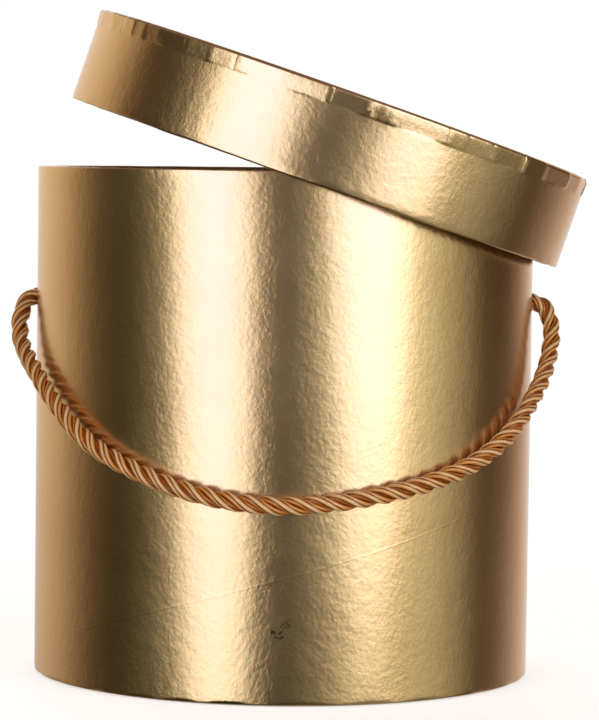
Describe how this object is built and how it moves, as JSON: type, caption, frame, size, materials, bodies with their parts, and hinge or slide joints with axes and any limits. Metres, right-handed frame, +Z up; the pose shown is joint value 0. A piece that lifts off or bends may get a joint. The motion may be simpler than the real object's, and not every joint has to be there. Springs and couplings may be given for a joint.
{
  "type": "flower gift box",
  "caption": "Round hat-box style flower box in gold foil paper, with a loose lift-off lid set askew on the rim and a twisted cord handle through punched side holes.",
  "frame": {"origin": "centre of the box body's underside, on the surface that the box stands on", "axes": "+Z up along the body's middle line; -Y is the front, where the cord handle hangs; +X runs through the right punched hole, the side to which the lid leans down"},
  "size_m": [0.2081, 0.1906, 0.2392],
  "materials": {
    "gold_foil_paper": "metallised champagne gold foil, softly mirrored, finely crinkled",
    "greyboard": "matt grey-brown board",
    "lining_paper": "plain matt cream paper",
    "satin_cord": "three-strand twisted satin cord, copper gold"
  },
  "bodies": {
    "box": {"body_tube": "greyboard", "body_wrap": "gold_foil_paper", "body_lining": "lining_paper", "base_disc": "greyboard", "floor_paper": "lining_paper", "base_cover": "lining_paper"},
    "lid": {"lid_ring": "greyboard", "lid_disc": "greyboard", "lid_band": "gold_foil_paper", "lid_ring_lining": "lining_paper", "lid_disc_lining": "lining_paper", "lid_top_paper": "gold_foil_paper"},
    "handle": {"rope_handle": "satin_cord", "knot_left": "satin_cord", "knot_right": "satin_cord"}
  },
  "joints": [
    {"name": "lid_lift", "type": "slide", "parent": "box", "child": "lid", "axis": [0, 0, 1], "range_m": [0, 0.15]},
    {"name": "handle_swing", "type": "hinge", "parent": "box", "child": "handle", "pos_m": [0, 0, 0.136], "axis": [-1, 0, 0], "range_deg": [0, 57]}
  ]
}
